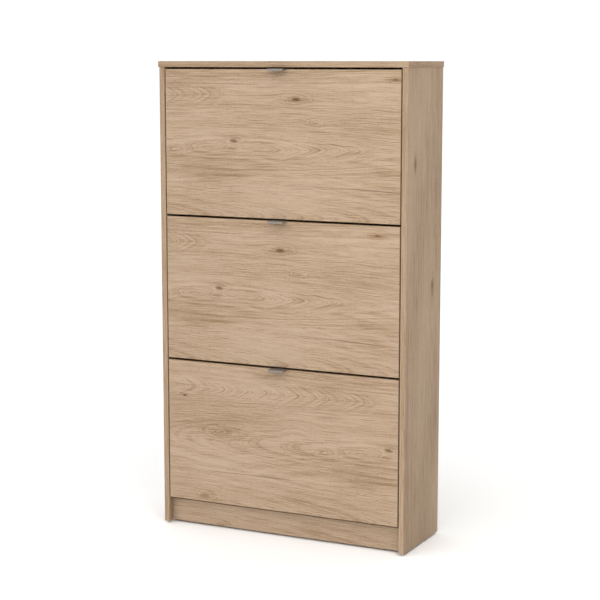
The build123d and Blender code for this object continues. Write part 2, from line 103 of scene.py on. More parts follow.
# Rings of the first heart that are darker for some way along the grain.
# Part of their darkness holds everywhere, and the rest only in the ring lines.
Ring = namedtuple("Ring", "start end radius darkness")
DARK_RINGS = (Ring(-345, 400, 29, 0.20), Ring(-800, -345, 43, 0.55))
RING_WIDTH = 1.8
RING_STEADY = 0.3

# A feather is a row of chevrons, where the middle of the log lies just under the face
Feather = namedtuple("Feather", "start end across half_height sweep step darkness")
FEATHERS = (
    Feather(-760, -180, 311, 16, 2.0, 6.0, 2.6),
    Feather(-20, 262, 175, 17, 4.0, 11.0, 2.2),
    Feather(300, 400, 664, 16, 2.0, 9.0, 0.9),
)
FEATHER_FADE = 1.6
FEATHER_COVER = 0.8
CHEVRON_TIP = 14.0
CHEVRON_LENGTH = 40

# A knot turns the grain around it and browns it. Its spot is the dark core.
Knot = namedtuple("Knot", "along across length height pull brown spot darkness")
KNOTS = (
    Knot(47, 302, 50, 16, 20, 0.26, 6.6, 0.68),
    Knot(-130, 195, 24, 12, 14, 0.34, 5.6, 0.62),
    Knot(-137, 175, 26, 9, 9, 0.18, 3.0, 0.25),
    Knot(100, 244, 30, 12, 14, 0.10, 2.8, 0.45),
    Knot(316, 352, 46, 7, 6, 0.45, 4.2, 0.52),
    Knot(-718, 284, 14, 7, 8, 0.20, 3.8, 0.72),
    Knot(-607, 195, 64, 20, 16, 0.38, 3.0, 0.40),
    Knot(-298, 171, 40, 14, 16, 0.12, 2.6, 0.25),
    Knot(-655, 18, 44, 20, 14, 0.32, 3.0, 0.30),
    Knot(983, 549, 40, 14, 9, 0.35, 7.5, 0.62),
    Knot(670, 670, 60, 16, 10, 0.45, 9.0, 0.58),
)
SPOT_STRETCH = 2.2
SPOT_EDGE = 1.3

# How far a knot spreads the grain that passes it: 1 would clear it away
KNOT_SPREAD = 0.75

# A bend lifts the grain over a place
Bend = namedtuple("Bend", "along across length height lift")
BENDS = (Bend(-392, 228, 58, 26, 13),)

# A check is a thin dark line that was a fine crack in the log
Check = namedtuple("Check", "start end across tilt darkness")
CHECKS = (
    Check(205, 345, 83, -0.035, 0.65),
    Check(10, 215, 86, -0.010, 0.28),
    Check(-652, -405, 85, 0.012, 0.50),
    Check(-330, -60, 338, 0.010, 0.18),
    Check(170, 250, 626, 0.010, 0.45),
)
CHECK_WIDTH = 1.3

# A kind of noise: its sizes in millimetres, its strength, the layer that it is taken from where it
# has two sizes, and how much finer noise lies on it
Noise = namedtuple("Noise", "sizes strength layer detail roughness", defaults=(1.0, 0.0, 2.0, 0.5))

# The grain drifts slowly, sways over a hand's width and is jagged at the scale of a ring
DRIFT = Noise((330, 95), 14)
SWAY = Noise((75, 24), 6, layer=7.0)
JAG = Noise((13, 6), 1.8, layer=3.0)
KNOT_RIM = Noise((4, 2.5), 1.5, layer=5.0, detail=3.0)

# Lines of one ring keep their tone for a long way, fibres and pores for a short one.
# Growth is counted in rings. A streak follows the rings and the sheet, each by its share.
GROWTH = Noise((700, 1, 220), 0.34, roughness=0.6)
LATE_WOOD = (0.42, 0.68)
BAND = Noise((900, 11, 500), 0.42)
STREAK = Noise((220, 1), 1.15, layer=4.0, detail=3.0, roughness=0.65)
STREAK_BY_RING = 0.25
STREAK_BY_PLACE = 0.3
FIBRE = Noise((85, 0.9), 3.0, layer=9.0, roughness=0.7)
PORE = Noise((11, 0.8), 0.55, layer=11.0, detail=1.0)
PORE_EDGE = (0.60, 0.72)
TONE = Noise((420, 110), 0.75, layer=2.0, detail=0.0)
FIGURE_LIFT = 0.12
MEAN_DARKNESS = 0.29

# Round a knot the turned grain takes the place of part of the figure
SWIRL = Noise((1.5, 60, 40), 1.8, roughness=0.6)
SWIRL_EDGE = (1.5, 6.0)
SWIRL_COVER = 0.4

# How deep the pores and ring lines lie, and how rough they make the decor
PORE_DEPTH = 0.7
LATE_DEPTH = 0.3
DECOR_ROUGHNESS = 0.46
PORE_ROUGHNESS = 0.14
FIBRE_ROUGHNESS = 0.10

# How the grain runs on a board, which part of the sheet it shows, which of its edges are bare and how
# much darker the banded ones are: partly the tone of the edge band, partly painted shade in the gaps
# between parts
Board = namedtuple("Board", "along across thick shift_along shift_across bare band", defaults=((), 0.2))

# Which part of the sheet each flap shows, from the middle of its bottom edge
FLAP_SHIFT = {"upper": 0, "middle": 45, "lower": -436}

# Ways that a bare edge can face
LEFT = ("X", -1.0)
RIGHT = ("X", 1.0)
FRONT = ("Y", -1.0)
BACK = ("Y", 1.0)
UNDER = ("Z", -1.0)
OVER = ("Z", 1.0)
CARCASS_BOARDS = {
    "top_panel": Board("X", "Y", "Z", 120, 1160, (BACK,)),
    "right_side_panel": Board("Z", "Y", "X", 0, 600, (BACK, UNDER)),
    "left_side_panel": Board("Z", "Y", "X", 260, 600, (BACK, UNDER)),
    "base_panel": Board("X", "Y", "Z", 500, 1160, (BACK,)),
    "plinth": Board("X", "Z", "Y", -470, 10, (UNDER,)),
    "lower_rear_rail": Board("X", "Z", "Y", 0, 900, (UNDER, OVER)),
    "upper_rear_rail": Board("X", "Z", "Y", 200, 900, (UNDER, OVER)),
    "top_rear_rail": Board("X", "Z", "Y", 400, 900, (UNDER, OVER)),
}
RACK_UPRIGHT = Board("X", "Z", "Y", 400, 880, (LEFT, RIGHT, UNDER, OVER), band=0.0)
RACK_FLOOR = Board("X", "Y", "Z", 150, 880, (LEFT, RIGHT, FRONT, BACK), band=0.0)

# A face counts as an edge of its board when its normal lies this near to the axis.
# Over these parts of the normal the softened arris turns from band to face. It takes the band's
# darkening, which is partly painted shade.
SQUARE_ON = 0.85
ARRIS = (0.75, 0.95)

# Bare chipboard: the size of its chips, and shades as shares of the mean colour
CHIP_SIZES = (3.2, 1.7, 3.2)
CHIP_SHADES = (0.62, 1.38)
CHIP_DUST = Noise((1.1, 1.1, 1.1), 0.7, detail=3.0)
DUST_EDGE = (0.60, 0.72)
DUST_SHADE = 0.35

# Hardboard: felted fibres, clouds and dark flecks, and the mesh of the press
FELT = Noise((9, 9, 5), 0.8, detail=5.0, roughness=0.68)
CLOUD = Noise((140, 140, 190), 0.6, detail=3.0)
FELT_LIFT = 0.2
FELT_SHADES = (0.72, 1.45)
FLECK = Noise((2.2, 2, 1.1), 0.4)
FLECK_EDGE = (0.62, 0.75)
FLECK_SHADE = 0.5
MESH_STEP = 1.6
MESH_DEPTH = 0.2

# Moulded plastic: a fine grain, the slow flow of the melt, and what they add to its roughness
MOULD_GRAIN = Noise((0.5, 0.5, 0.5), 0.1)
MOULD_FLOW = Noise((30, 30, 30), 0.15)
MOULD_SHADES = (0.8, 1.25)

# Metal: the length and width of its fine lines, a haze, and what they add to its roughness
BRUSH_LENGTH = 40.0
BRUSH_WIDTH = 0.18
BRUSH_ROUGHNESS = 0.2
METAL_HAZE = Noise((14, 14, 14), 0.1)
METAL_SHADES = (0.82, 1.12)

# Beech: short dark flecks and a slow change of tone
BEECH_FLECK = Noise((3, 0.5, 0.5), 0.6)
BEECH_EDGE = (0.56, 0.7)
BEECH_TONE = Noise((30, 3, 3), 0.2)
BEECH_DARK = 0.55

FLOOR_HAZE = Noise((400, 400), 0.1)

# Outlines of turned pieces, as radius and height, and a groove, in shares of the piece's own sizes
SCREW_POINT = ((0, 0), (0.3, 0.5), (1, 2.2))
SCREW_HEAD = ((1, 0), (1, 0.4), (0.92, 0.72), (0.74, 1))
NAIL_POINT = ((0, 0), (1, 3))
NAIL_HEAD = ((1, 0), (1, 0.45), (0.8, 0.85), (0, 1))
GLIDE_FOOT = ((0, 0), (0.66, 0), (0.86, 0.06), (0.97, 0.2), (1, 0.4))
GLIDE_TOP = ((1, -0.08), (0.94, 0))
DOWEL_GROOVE = 0.93

# More outlines, in millimetres
BOLT_SHANK = ((2.5, 9.0), (3.2, 9.0), (3.2, 10.2), (2.5, 10.6), (2.5, 24.0), (1.9, 24.8), (1.9, 30.4))
BOLT_HEAD = ((2.9, 30.7), (3.4, 31.8), (3.4, 33.2), (2.8, 34.2), (2.0, 34.5), (0, 34.5))
BUSH_FLANGE = ((4.06, 0), (8.6, 0), (9.0, 0.4), (9.0, 1.0))
BUSH_BARREL = ((6.0, 1.0), (6.0, 11.4), (5.4, 12.0), (4.06, 12.0), (4.06, 0))

# Sides in half the gap of a cam lock's wall, and how near a back sheet is to one that it lies on
CAM_HALF_GAP = 3
SHEET_MARGIN = 1 * MM

# Edges up to this sharp are shaded smooth, and points this near are one or lie on the axis
SMOOTH_ANGLE = radians(35)
SAME_POINT = 1e-6
ON_AXIS = 1e-7

# Colour sockets of a mix node
MIX_FIRST = 6
MIX_SECOND = 7
MIX_RESULT = 2

# The room gets darker to the right between these two parts of the direction
SHADE_EDGE = (0.2, 1.0)


class Term:
    """A number that nodes work out. Arithmetic with it adds the nodes for the result."""

    def __init__(self, sheet, socket):
        self.sheet = sheet
        self.socket = socket

    def __add__(self, other):
        return self.sheet.math("ADD", self, other)

    __radd__ = __add__

    def __sub__(self, other):
        return self.sheet.math("SUBTRACT", self, other)

    def __rsub__(self, other):
        return self.sheet.math("SUBTRACT", other, self)

    def __mul__(self, other):
        return self.sheet.math("MULTIPLY", self, other)

    def __truediv__(self, other):
        return self.sheet.math("DIVIDE", self, other)


class NodeSheet:
    """The nodes of one material or group, wired up by short calls."""

    def __init__(self, tree):
        self.nodes = tree.nodes
        self.links = tree.links

    def feed(self, socket, value):
        """Link a worked-out value to a socket, or set a plain one on it."""
        if isinstance(value, Term):
            self.links.new(value.socket, socket)
        else:
            socket.default_value = value

    def node(self, kind, inputs, **settings):
        node = self.nodes.new(kind)
        for name, value in settings.items():
            setattr(node, name, value)
        for name, value in inputs.items():
            self.feed(node.inputs[name], value)
        return node

    def term(self, node, output=0):
        return Term(self, node.outputs[output])

    def math(self, operation, *values):
        return self.term(self.node("ShaderNodeMath", dict(enumerate(values)), operation=operation))

    def ramp(self, value, low, high):
        """0 below the low value, 1 above the high one and a smooth rise between."""
        inputs = {"Value": value, "From Min": low, "From Max": high}
        return self.term(self.node("ShaderNodeMapRange", inputs, interpolation_type="SMOOTHSTEP"))

    def vector(self, places, sizes, layer=0.0):
        """A place counted in sizes, with a layer for its third part if there are two."""
        spread = [place / size for place, size in zip(places, sizes)]
        return self.term(self.node("ShaderNodeCombineXYZ", dict(zip(AXES, [*spread, layer]))))

    def noise(self, kind, *places):
        """Noise of one kind at a place, from 0 to 1."""
        inputs = {"Vector": self.vector(places, kind.sizes, kind.layer), "Scale": 1.0,
                  "Detail": kind.detail, "Roughness": kind.roughness}
        return self.term(self.node("ShaderNodeTexNoise", inputs))

    def stray(self, kind, *places):
        """Noise of one kind as a step to either side, by its strength."""
        return (self.noise(kind, *places) - 0.5) * kind.strength

    def cells(self, sizes, places):
        """A random grey for each cell of a broken-up space."""
        node = self.node("ShaderNodeTexVoronoi", {"Vector": self.vector(places, sizes), "Scale": 1.0})
        return self.term(self.node("ShaderNodeSeparateColor", {"Color": self.term(node, "Color")}))

    def tint(self, amount, first, second):
        """The first colour, turned into the second by an amount from 0 to 1."""
        inputs = {"Factor": amount, MIX_FIRST: first, MIX_SECOND: second}
        node = self.node("ShaderNodeMix", inputs, data_type="RGBA", clamp_factor=True)
        return self.term(node, MIX_RESULT)

    def by_axis(self, coordinate):
        """A texture coordinate, split by axis."""
        vector = self.term(self.node("ShaderNodeTexCoord", {}), coordinate)
        split = self.node("ShaderNodeSeparateXYZ", {"Vector": vector})
        return {axis: self.term(split, axis) for axis in AXES}

    def place(self):
        """A point's place on the object in millimetres, by axis."""
        return {axis: value / MM for axis, value in self.by_axis("Object").items()}


def new_material(name):
    """An empty material with its shader and the sheet to wire it on."""
    material = bpy.data.materials.new(name)
    material.use_nodes = True
    sheet = NodeSheet(material.node_tree)
    shader = material.node_tree.nodes["Principled BSDF"]
    return material, sheet, shader


def finish(sheet, shader, colour, roughness, height, depth, strength, shine=0.5):
    """Wire a colour, a roughness and a relief to a shader. A height of 1 is a depth in millimetres."""
    shader.inputs["Specular IOR Level"].default_value = shine
    sheet.feed(shader.inputs["Base Color"], colour)
    sheet.feed(shader.inputs["Roughness"], roughness)
    inputs = {"Height": height, "Distance": depth * MM, "Strength": strength}
    sheet.feed(shader.inputs["Normal"], sheet.term(sheet.node("ShaderNodeBump", inputs)))


def solid(colour):
    """A colour property as a shader colour."""
    return (*colour, 1.0)


def shades(colour, shares):
    """Two shader colours, each a share of a mean colour."""
    return [solid(colour * share) for share in shares]


def dress(node, material):
    """Give a CAD node its material in place of the plain one."""
    slots = frame["nodes"][node].data.materials
    slots.clear()
    slots.append(material)


class DecorSettings(bpy.types.PropertyGroup):
    """Colours and scale of the wood decor."""

    early: bpy.props.FloatVectorProperty(
        name="Early wood", description="Light colour between the ring lines",
        subtype="COLOR", min=0, max=1, default=(0.388, 0.290, 0.207))
    late: bpy.props.FloatVectorProperty(
        name="Late wood", description="Darker colour of the ring lines",
        subtype="COLOR", min=0, max=1, default=(0.198, 0.123, 0.066))
    knot: bpy.props.FloatVectorProperty(
        name="Knot", description="Brown at the middle of a knot",
        subtype="COLOR", min=0, max=1, default=(0.060, 0.026, 0.009))
    ring: bpy.props.FloatProperty(
        name="Ring spacing", description="Usual distance between two ring lines",
        subtype="DISTANCE", unit="LENGTH", default=0.0017, min=0.0005)
    chipboard: bpy.props.FloatVectorProperty(
        name="Chipboard", description="Mean colour of a bare board edge",
        subtype="COLOR", min=0, max=1, default=(0.36, 0.24, 0.135))
    hardboard: bpy.props.FloatVectorProperty(
        name="Hardboard", description="Mean colour of the back sheets",
        subtype="COLOR", min=0, max=1, default=(0.20, 0.115, 0.062))


class HardwareSettings(bpy.types.PropertyGroup):
    """Colours of the handles, fittings and moulded pieces."""

    handle: bpy.props.FloatVectorProperty(
        name="Handle", description="Colour of the brushed handles",
        subtype="COLOR", min=0, max=1, default=(0.262, 0.236, 0.210))
    zinc: bpy.props.FloatVectorProperty(
        name="Zinc", description="Colour of the plated screws, nails, cams, bolts and pins",
        subtype="COLOR", min=0, max=1, default=(0.58, 0.58, 0.57))
    moulding: bpy.props.FloatVectorProperty(
        name="Moulding", description="Colour of the rack frames and bushes",
        subtype="COLOR", min=0, max=1, default=(0.022, 0.022, 0.024))
    pale: bpy.props.FloatVectorProperty(
        name="Pale plastic", description="Colour of the glides and the back joint strip",
        subtype="COLOR", min=0, max=1, default=(0.42, 0.41, 0.38))
    beech: bpy.props.FloatVectorProperty(
        name="Beech", description="Colour of the dowels",
        subtype="COLOR", min=0, max=1, default=(0.52, 0.33, 0.17))
    head_height: bpy.props.FloatProperty(
        name="Screw head", description="Height of a screw head above its seat",
        subtype="DISTANCE", unit="LENGTH", default=0.0022, min=0.0005)
    recess_depth: bpy.props.FloatProperty(
        name="Recess depth", description="Depth of the cross recess in a screw head",
        subtype="DISTANCE", unit="LENGTH", default=0.0013, min=0.0002)


class StageSettings(bpy.types.PropertyGroup):
    """Floor, light and camera."""

    floor: bpy.props.FloatVectorProperty(
        name="Floor", description="Colour of the floor",
        subtype="COLOR", min=0, max=1, default=(0.92, 0.92, 0.92))
    floor_radius: bpy.props.FloatProperty(
        name="Floor radius", description="How far the floor reaches",
        subtype="DISTANCE", unit="LENGTH", default=30.0, min=2.0)
    sky: bpy.props.FloatProperty(
        name="Room light", description="Strength of the white light from all round",
        default=1.02, min=0.0)
    front_wall: bpy.props.FloatProperty(
        name="Front wall", description="How much brighter the room is straight in front of the cabinet",
        default=1.28, min=0.0)
    right_shade: bpy.props.FloatProperty(
        name="Right shade", description="How much darker the room is to the right of the cabinet",
        default=0.93, min=0.0, max=1.0)
    key: bpy.props.FloatProperty(
        name="Key light", description="Power of the large lamp above the front",
        unit="POWER", default=29.0, min=0.0)
    key_colour: bpy.props.FloatVectorProperty(
        name="Key colour", description="Colour of the large lamp's light",
        subtype="COLOR", min=0, max=1, default=(1.0, 0.965, 0.86))
    key_size: bpy.props.FloatProperty(
        name="Key size", description="Width of the large lamp",
        subtype="DISTANCE", unit="LENGTH", default=1.6, min=0.1)
    key_place: bpy.props.FloatVectorProperty(
        name="Key place", description="Where the large lamp hangs",
        subtype="TRANSLATION", unit="LENGTH", default=(1.9, -1.5, 2.3))
    camera_place: bpy.props.FloatVectorProperty(
        name="Camera", description="Where the camera stands",
        subtype="TRANSLATION", unit="LENGTH", default=(1.8603, -3.7698, 1.2400))
    camera_turn: bpy.props.FloatProperty(
        name="Turn", description="How far the camera is turned to the left of straight on",
        subtype="ANGLE", unit="ROTATION", default=radians(26.171))
    camera_dip: bpy.props.FloatProperty(
        name="Dip", description="How far the camera looks down",
        subtype="ANGLE", unit="ROTATION", default=radians(8.421))
    lens: bpy.props.FloatProperty(
        name="Lens", description="Focal length in millimetres on a 36 mm sensor",
        default=97.61, min=10.0)


def heart_distance(sheet, heart, along, across):
    """How far a point lies from the middle of the log, by the ring that comes out there."""
    run = along - heart.along
    on_right = sheet.math("GREATER_THAN", run, 0.0)
    slope = on_right * (heart.right_slope - heart.left_slope) + heart.left_slope
    power = on_right * (heart.right_power - heart.left_power) + heart.left_power
    side = sheet.math("ABSOLUTE", across - heart.across)
    depth = sheet.math("ABSOLUTE", run * slope)
    total = sheet.math("POWER", side, power) + sheet.math("POWER", depth, power)
    return sheet.math("POWER", total, sheet.math("DIVIDE", 1.0, power))


def hump(sheet, distance):
    """1 in the middle, a quarter at a distance of 1 and soon nothing."""
    return sheet.math("POWER", 2.0, distance * distance * -2.0)


def ellipse_distance(sheet, along, across, spot, length, height):
    """How far a point lies from a spot, where 1 is the edge of an ellipse around it."""
    run = (along - spot.along) / length
    rise = (across - spot.across) / height
    return sheet.math("SQRT", run * run + rise * rise)


def stretch(sheet, along, line, soft):
    """1 between the start and the end of a line, with soft ends."""
    begun = sheet.ramp(along, line.start - soft, line.start + soft)
    return begun * (1.0 - sheet.ramp(along, line.end - soft, line.end + soft))


def chevrons(sheet, feather, along, across):
    """How far a point lies in a row of chevrons, and how dark they are there."""
    side = across - feather.across
    rounded = sheet.math("SQRT", side * side + CHEVRON_TIP)
    swept = along + rounded * feather.sweep
    kind = Noise((feather.step, CHEVRON_LENGTH), feather.darkness, layer=feather.start, roughness=0.6)
    height = side / (FEATHER_FADE * feather.half_height)
    inside = hump(sheet, height) * stretch(sheet, along, feather, soft=40)
    return inside, sheet.stray(kind, swept, rounded)


def knot_marks(sheet, along, across):
    """What the bends and knots do at a place: how far they move, turn, brown and spot the grain."""
    flow = turn = brown = spots = 0.0
    rim = sheet.stray(KNOT_RIM, along, across)
    for bend in BENDS:
        near = hump(sheet, ellipse_distance(sheet, along, across, bend, bend.length, bend.height))
        flow = near * bend.lift + flow
    for knot in KNOTS:
        near = hump(sheet, ellipse_distance(sheet, along, across, knot, knot.length, knot.height))
        flow = near * (across - knot.across) * KNOT_SPREAD + flow
        turn = near * knot.pull + turn
        brown = near * knot.brown + brown
        core = ellipse_distance(sheet, along, across, knot, SPOT_STRETCH * knot.spot, knot.spot) + rim
        spot = (1.0 - sheet.ramp(core, 0.0, SPOT_EDGE)) * knot.darkness
        spots = sheet.math("MAXIMUM", spot, spots)
    return flow, turn, brown, spots


def oak_decor():
    """The printed wood decor as one shared node group: colour, height and roughness at a place on it."""
    group = bpy.data.node_groups.get("oak_decor")
    if group:
        return group
    settings = bpy.context.scene.cabinet_decor
    group = bpy.data.node_groups.new("oak_decor", "ShaderNodeTree")
    for name in ("Along", "Across"):
        group.interface.new_socket(name, in_out="INPUT", socket_type="NodeSocketFloat")
    for name, kind in (("Colour", "Color"), ("Height", "Float"), ("Roughness", "Float")):
        group.interface.new_socket(name, in_out="OUTPUT", socket_type=f"NodeSocket{kind}")
    sheet = NodeSheet(group)
    source = group.nodes.new("NodeGroupInput")
    along = sheet.term(source, "Along")
    across = sheet.term(source, "Across")

    flow, turn, brown, spots = knot_marks(sheet, along, across)
    smooth = across - flow + sheet.stray(DRIFT, along, across) + sheet.stray(SWAY, along, across)
    wandered = smooth + sheet.stray(JAG, along, across)
    for check in CHECKS:
        line = smooth - check.across - (along - check.start) * check.tilt
        thin = hump(sheet, line / CHECK_WIDTH) * stretch(sheet, along, check, soft=25)
        spots = sheet.math("MAXIMUM", thin * check.darkness, spots)

    first = heart_distance(sheet, HEARTS[0], along, wandered)
    ring = first
    for heart in HEARTS[1:]:
        ring = sheet.math("MINIMUM", ring, heart_distance(sheet, heart, along, wandered))
    rings = (ring + turn) / (settings.ring / MM)
    late = sheet.ramp(sheet.noise(GROWTH, along, rings, across), *LATE_WOOD)
    streak = sheet.stray(STREAK, along, ring * STREAK_BY_RING + wandered * STREAK_BY_PLACE)
    fibre = sheet.noise(FIBRE, along, wandered)
    pore = sheet.ramp(sheet.noise(PORE, along, wandered), *PORE_EDGE)

    figure = late * GROWTH.strength + streak - FIGURE_LIFT
    for feather in FEATHERS:
        inside, lines = chevrons(sheet, feather, along, wandered)
        figure = figure + inside * (lines - figure * FEATHER_COVER)
    swirl = sheet.stray(SWIRL, turn, along, across)
    figure = figure + sheet.ramp(turn, *SWIRL_EDGE) * (swirl - figure * SWIRL_COVER)
    for marked in DARK_RINGS:
        near = hump(sheet, (first - marked.radius) / RING_WIDTH)
        near = near * stretch(sheet, along, marked, soft=30)
        share = late * (1.0 - RING_STEADY) + RING_STEADY
        figure = figure + near * share * marked.darkness
    dark = figure + sheet.stray(BAND, along, ring, across) + (fibre - 0.5) * FIBRE.strength
    dark = dark + sheet.stray(TONE, along, wandered) + pore * PORE.strength + brown + MEAN_DARKNESS
    colour = sheet.tint(dark, solid(settings.early), solid(settings.late))

    sink = group.nodes.new("NodeGroupOutput")
    sheet.feed(sink.inputs["Colour"], sheet.tint(spots, colour, solid(settings.knot)))
    sheet.feed(sink.inputs["Height"], 1.0 - pore * PORE_DEPTH - late * LATE_DEPTH)
    roughness = DECOR_ROUGHNESS + pore * PORE_ROUGHNESS + (fibre - 0.5) * FIBRE_ROUGHNESS
    sheet.feed(sink.inputs["Roughness"], roughness)
    return group


def wood_board(name, board):
    """Faced chipboard: decor on faces and on banded edges, darkened there by band tone and painted shade,
    bare chips on the other edges.
    """
    settings = bpy.context.scene.cabinet_decor
    material, sheet, shader = new_material(name)
    place = sheet.place()
    facing = sheet.by_axis("Normal")
    size = {axis: sheet.math("ABSOLUTE", facing[axis]) for axis in AXES}
    on_end = sheet.math("GREATER_THAN", size[board.along], SQUARE_ON)
    on_edge = sheet.math("MAXIMUM", on_end, sheet.math("GREATER_THAN", size[board.across], SQUARE_ON))
    along = place[board.along] + on_end * (place[board.across] - place[board.along])
    across = place[board.across] + on_edge * (place[board.thick] - place[board.across])
    sample = sheet.node("ShaderNodeGroup", {}, node_tree=oak_decor())
    sheet.feed(sample.inputs["Along"], along + board.shift_along)
    sheet.feed(sample.inputs["Across"], across + board.shift_across)

    # Banded edges and their arris are tinted towards late wood: partly a darker band tone, partly painted
    # shade that deepens the gaps between parts.
    banded = 1.0 - sheet.ramp(size[board.thick], *ARRIS)
    colour = sheet.tint(banded * board.band, sheet.term(sample, "Colour"), solid(settings.late))
    height = sheet.term(sample, "Height")
    roughness = sheet.term(sample, "Roughness")
    if board.bare:
        mean = settings.chipboard
        chips = sheet.cells(CHIP_SIZES, place.values())
        dust = sheet.noise(CHIP_DUST, *place.values())
        raw = sheet.tint(chips, *shades(mean, CHIP_SHADES))
        dusty = sheet.ramp(dust, *DUST_EDGE) * CHIP_DUST.strength
        raw = sheet.tint(dusty, raw, solid(mean * DUST_SHADE))
    for axis, way in board.bare:
        bare = sheet.math("GREATER_THAN", facing[axis] * way, SQUARE_ON)
        colour = sheet.tint(bare, colour, raw)
        height = height + bare * (chips + dust - height)
        roughness = roughness + bare * (0.85 - roughness)
    finish(sheet, shader, colour, roughness, height, depth=0.12, strength=0.6, shine=0.04)
    return material


def hardboard():
    """Pressed brown fibre, smooth but mottled, with the mesh of the press left on it."""
    mean = bpy.context.scene.cabinet_decor.hardboard
    material, sheet, shader = new_material("hardboard")
    place = sheet.place()
    fibre = sheet.noise(FELT, *place.values())
    cloud = sheet.noise(CLOUD, *place.values())
    fleck = sheet.ramp(sheet.noise(FLECK, *place.values()), *FLECK_EDGE)
    mottle = fibre * FELT.strength + cloud * CLOUD.strength - FELT_LIFT
    colour = sheet.tint(mottle, *shades(mean, FELT_SHADES))
    colour = sheet.tint(fleck * FLECK.strength, colour, solid(mean * FLECK_SHADE))
    roughness = 0.62 + (fibre - 0.5) * 0.3
    waves = [sheet.math("SINE", place[axis] * (tau / MESH_STEP)) for axis in ("X", "Z")]
    height = fibre + (waves[0] + waves[1]) * MESH_DEPTH
    finish(sheet, shader, colour, roughness, height, depth=0.10, strength=0.5)
    return material


def moulded_plastic(name, setting, roughness):
    """Moulded plastic in one of the hardware colours, with a fine eroded grain."""
    colour = getattr(bpy.context.scene.cabinet_hardware, setting)
    material, sheet, shader = new_material(name)
    place = sheet.place()
    grain = sheet.noise(MOULD_GRAIN, *place.values())
    flow = sheet.noise(MOULD_FLOW, *place.values())
    tinted = sheet.tint(grain * 0.5 + flow * 0.5, *shades(colour, MOULD_SHADES))
    rough = roughness + (flow - 0.5) * MOULD_FLOW.strength + (grain - 0.5) * MOULD_GRAIN.strength
    finish(sheet, shader, tinted, rough, grain, depth=0.05, strength=0.5, shine=0.2)
    return material


def brushed_metal(name, setting, brush, roughness):
    """Metal in one of the hardware colours, with fine lines along one axis."""
    colour = getattr(bpy.context.scene.cabinet_hardware, setting)
    material, sheet, shader = new_material(name)
    place = sheet.place()
    sizes = [BRUSH_LENGTH if axis == brush else BRUSH_WIDTH for axis in AXES]
    lines = sheet.noise(Noise(sizes, detail=3.0, roughness=0.6), *place.values())
    tinted = sheet.tint(lines, *shades(colour, METAL_SHADES))
    rough = roughness + (lines - 0.5) * BRUSH_ROUGHNESS + sheet.stray(METAL_HAZE, *place.values())
    finish(sheet, shader, tinted, rough, lines, depth=0.02, strength=0.4)
    shader.inputs["Metallic"].default_value = 1.0
    return material


def beech_wood():
    """Beech with short dark flecks."""
    beech = bpy.context.scene.cabinet_hardware.beech
    material, sheet, shader = new_material("beech")
    place = sheet.place()
    fleck = sheet.ramp(sheet.noise(BEECH_FLECK, *place.values()), *BEECH_EDGE)
    tone = sheet.noise(BEECH_TONE, *place.values()) - 0.5
    colour = sheet.tint(fleck * BEECH_FLECK.strength + tone, solid(beech), solid(beech * BEECH_DARK))
    roughness = 0.6 + tone * BEECH_TONE.strength
    finish(sheet, shader, colour, roughness, fleck, depth=0.05, strength=0.4)
    return material


class CABINET_OT_flaps(bpy.types.Operator):
    """Finish the three flap fronts, each with its own part of the wood decor"""
    bl_idname = "cabinet.flaps"
    bl_label = "Flap fronts"

    def execute(self, context):
        for level in LEVELS:
            node = f"{level}_flap_front"
            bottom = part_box(node)[0].z / MM
            # The flaps' banded edges are darkened: partly band tone, partly painted shade that darkens the
            # gaps between the flaps.
            board = Board("X", "Z", "Y", FLAP_SHIFT[level], -bottom, band=0.4)
            dress(node, wood_board(node, board))
        return {"FINISHED"}


class CABINET_OT_carcass(bpy.types.Operator):
    """Finish the top, sides, base, plinth and rails"""
    bl_idname = "cabinet.carcass"
    bl_label = "Carcass boards"

    def execute(self, context):
        for node, board in CARCASS_BOARDS.items():
            dress(node, wood_board(node, board))
        return {"FINISHED"}


class CABINET_OT_back(bpy.types.Operator):
    """Finish the two hardboard back sheets and the strip that joins them"""
    bl_idname = "cabinet.back"
    bl_label = "Back"

    def execute(self, context):
        sheets = hardboard()
        for node in ("lower_back_sheet", "upper_back_sheet"):
            dress(node, sheets)
        dress("back_joint_strip", moulded_plastic("strip_plastic", "pale", roughness=0.40))
        return {"FINISHED"}


class CABINET_OT_racks(bpy.types.Operator):
    """Finish the moulded rack frames and the boards between them"""
    bl_idname = "cabinet.racks"
    bl_label = "Shoe racks"

    def execute(self, context):
        plastic = moulded_plastic("rack_plastic", "moulding", roughness=0.55)
        upright = wood_board("rack_uprights", RACK_UPRIGHT)
        floor = wood_board("rack_floors", RACK_FLOOR)
        finishes = {
            "left_rack_frame": plastic, "right_rack_frame": plastic, "rack_divider": upright,
            "rear_board": upright, "front_floor": floor, "rear_floor": floor,
        }
        for level in LEVELS:
            for name, material in finishes.items():
                dress(f"{level}_{name}", material)
        return {"FINISHED"}


class CABINET_OT_handles(bpy.types.Operator):
    """Finish the three tab handles in brushed metal"""
    bl_idname = "cabinet.handles"
    bl_label = "Handles"

    def execute(self, context):
        metal = brushed_metal("handle_metal", "handle", brush="X", roughness=0.62)
        for level in LEVELS:
            dress(f"{level}_handle", metal)
        return {"FINISHED"}


def solid_boxes(node):
    """The lowest and highest corner of each solid of a CAD node."""
    mesh = bmesh.new()
    mesh.from_mesh(frame["nodes"][node].data)
    bmesh.ops.remove_doubles(mesh, verts=mesh.verts, dist=SAME_POINT)
    boxes = []
    left = set(mesh.verts)
    while left:
        reached = [left.pop()]
        for vert in reached:
            nearby = {edge.other_vert(vert) for edge in vert.link_edges} & left
            left -= nearby
            reached.extend(nearby)
        places = [vert.co for vert in reached]
        low = Vector([min(values) for values in zip(*places)])
        high = Vector([max(values) for values in zip(*places)])
        boxes.append((low, high))
    mesh.free()
    return sorted(boxes, key=lambda box: tuple(round(value, ndigits=5) for value in box[0]))


def scaled(outline, radius, height, start=0.0):
    """An outline in shares or millimetres, at its real size and from a starting height."""
    return [(wide * radius, start + tall * height) for wide, tall in outline]


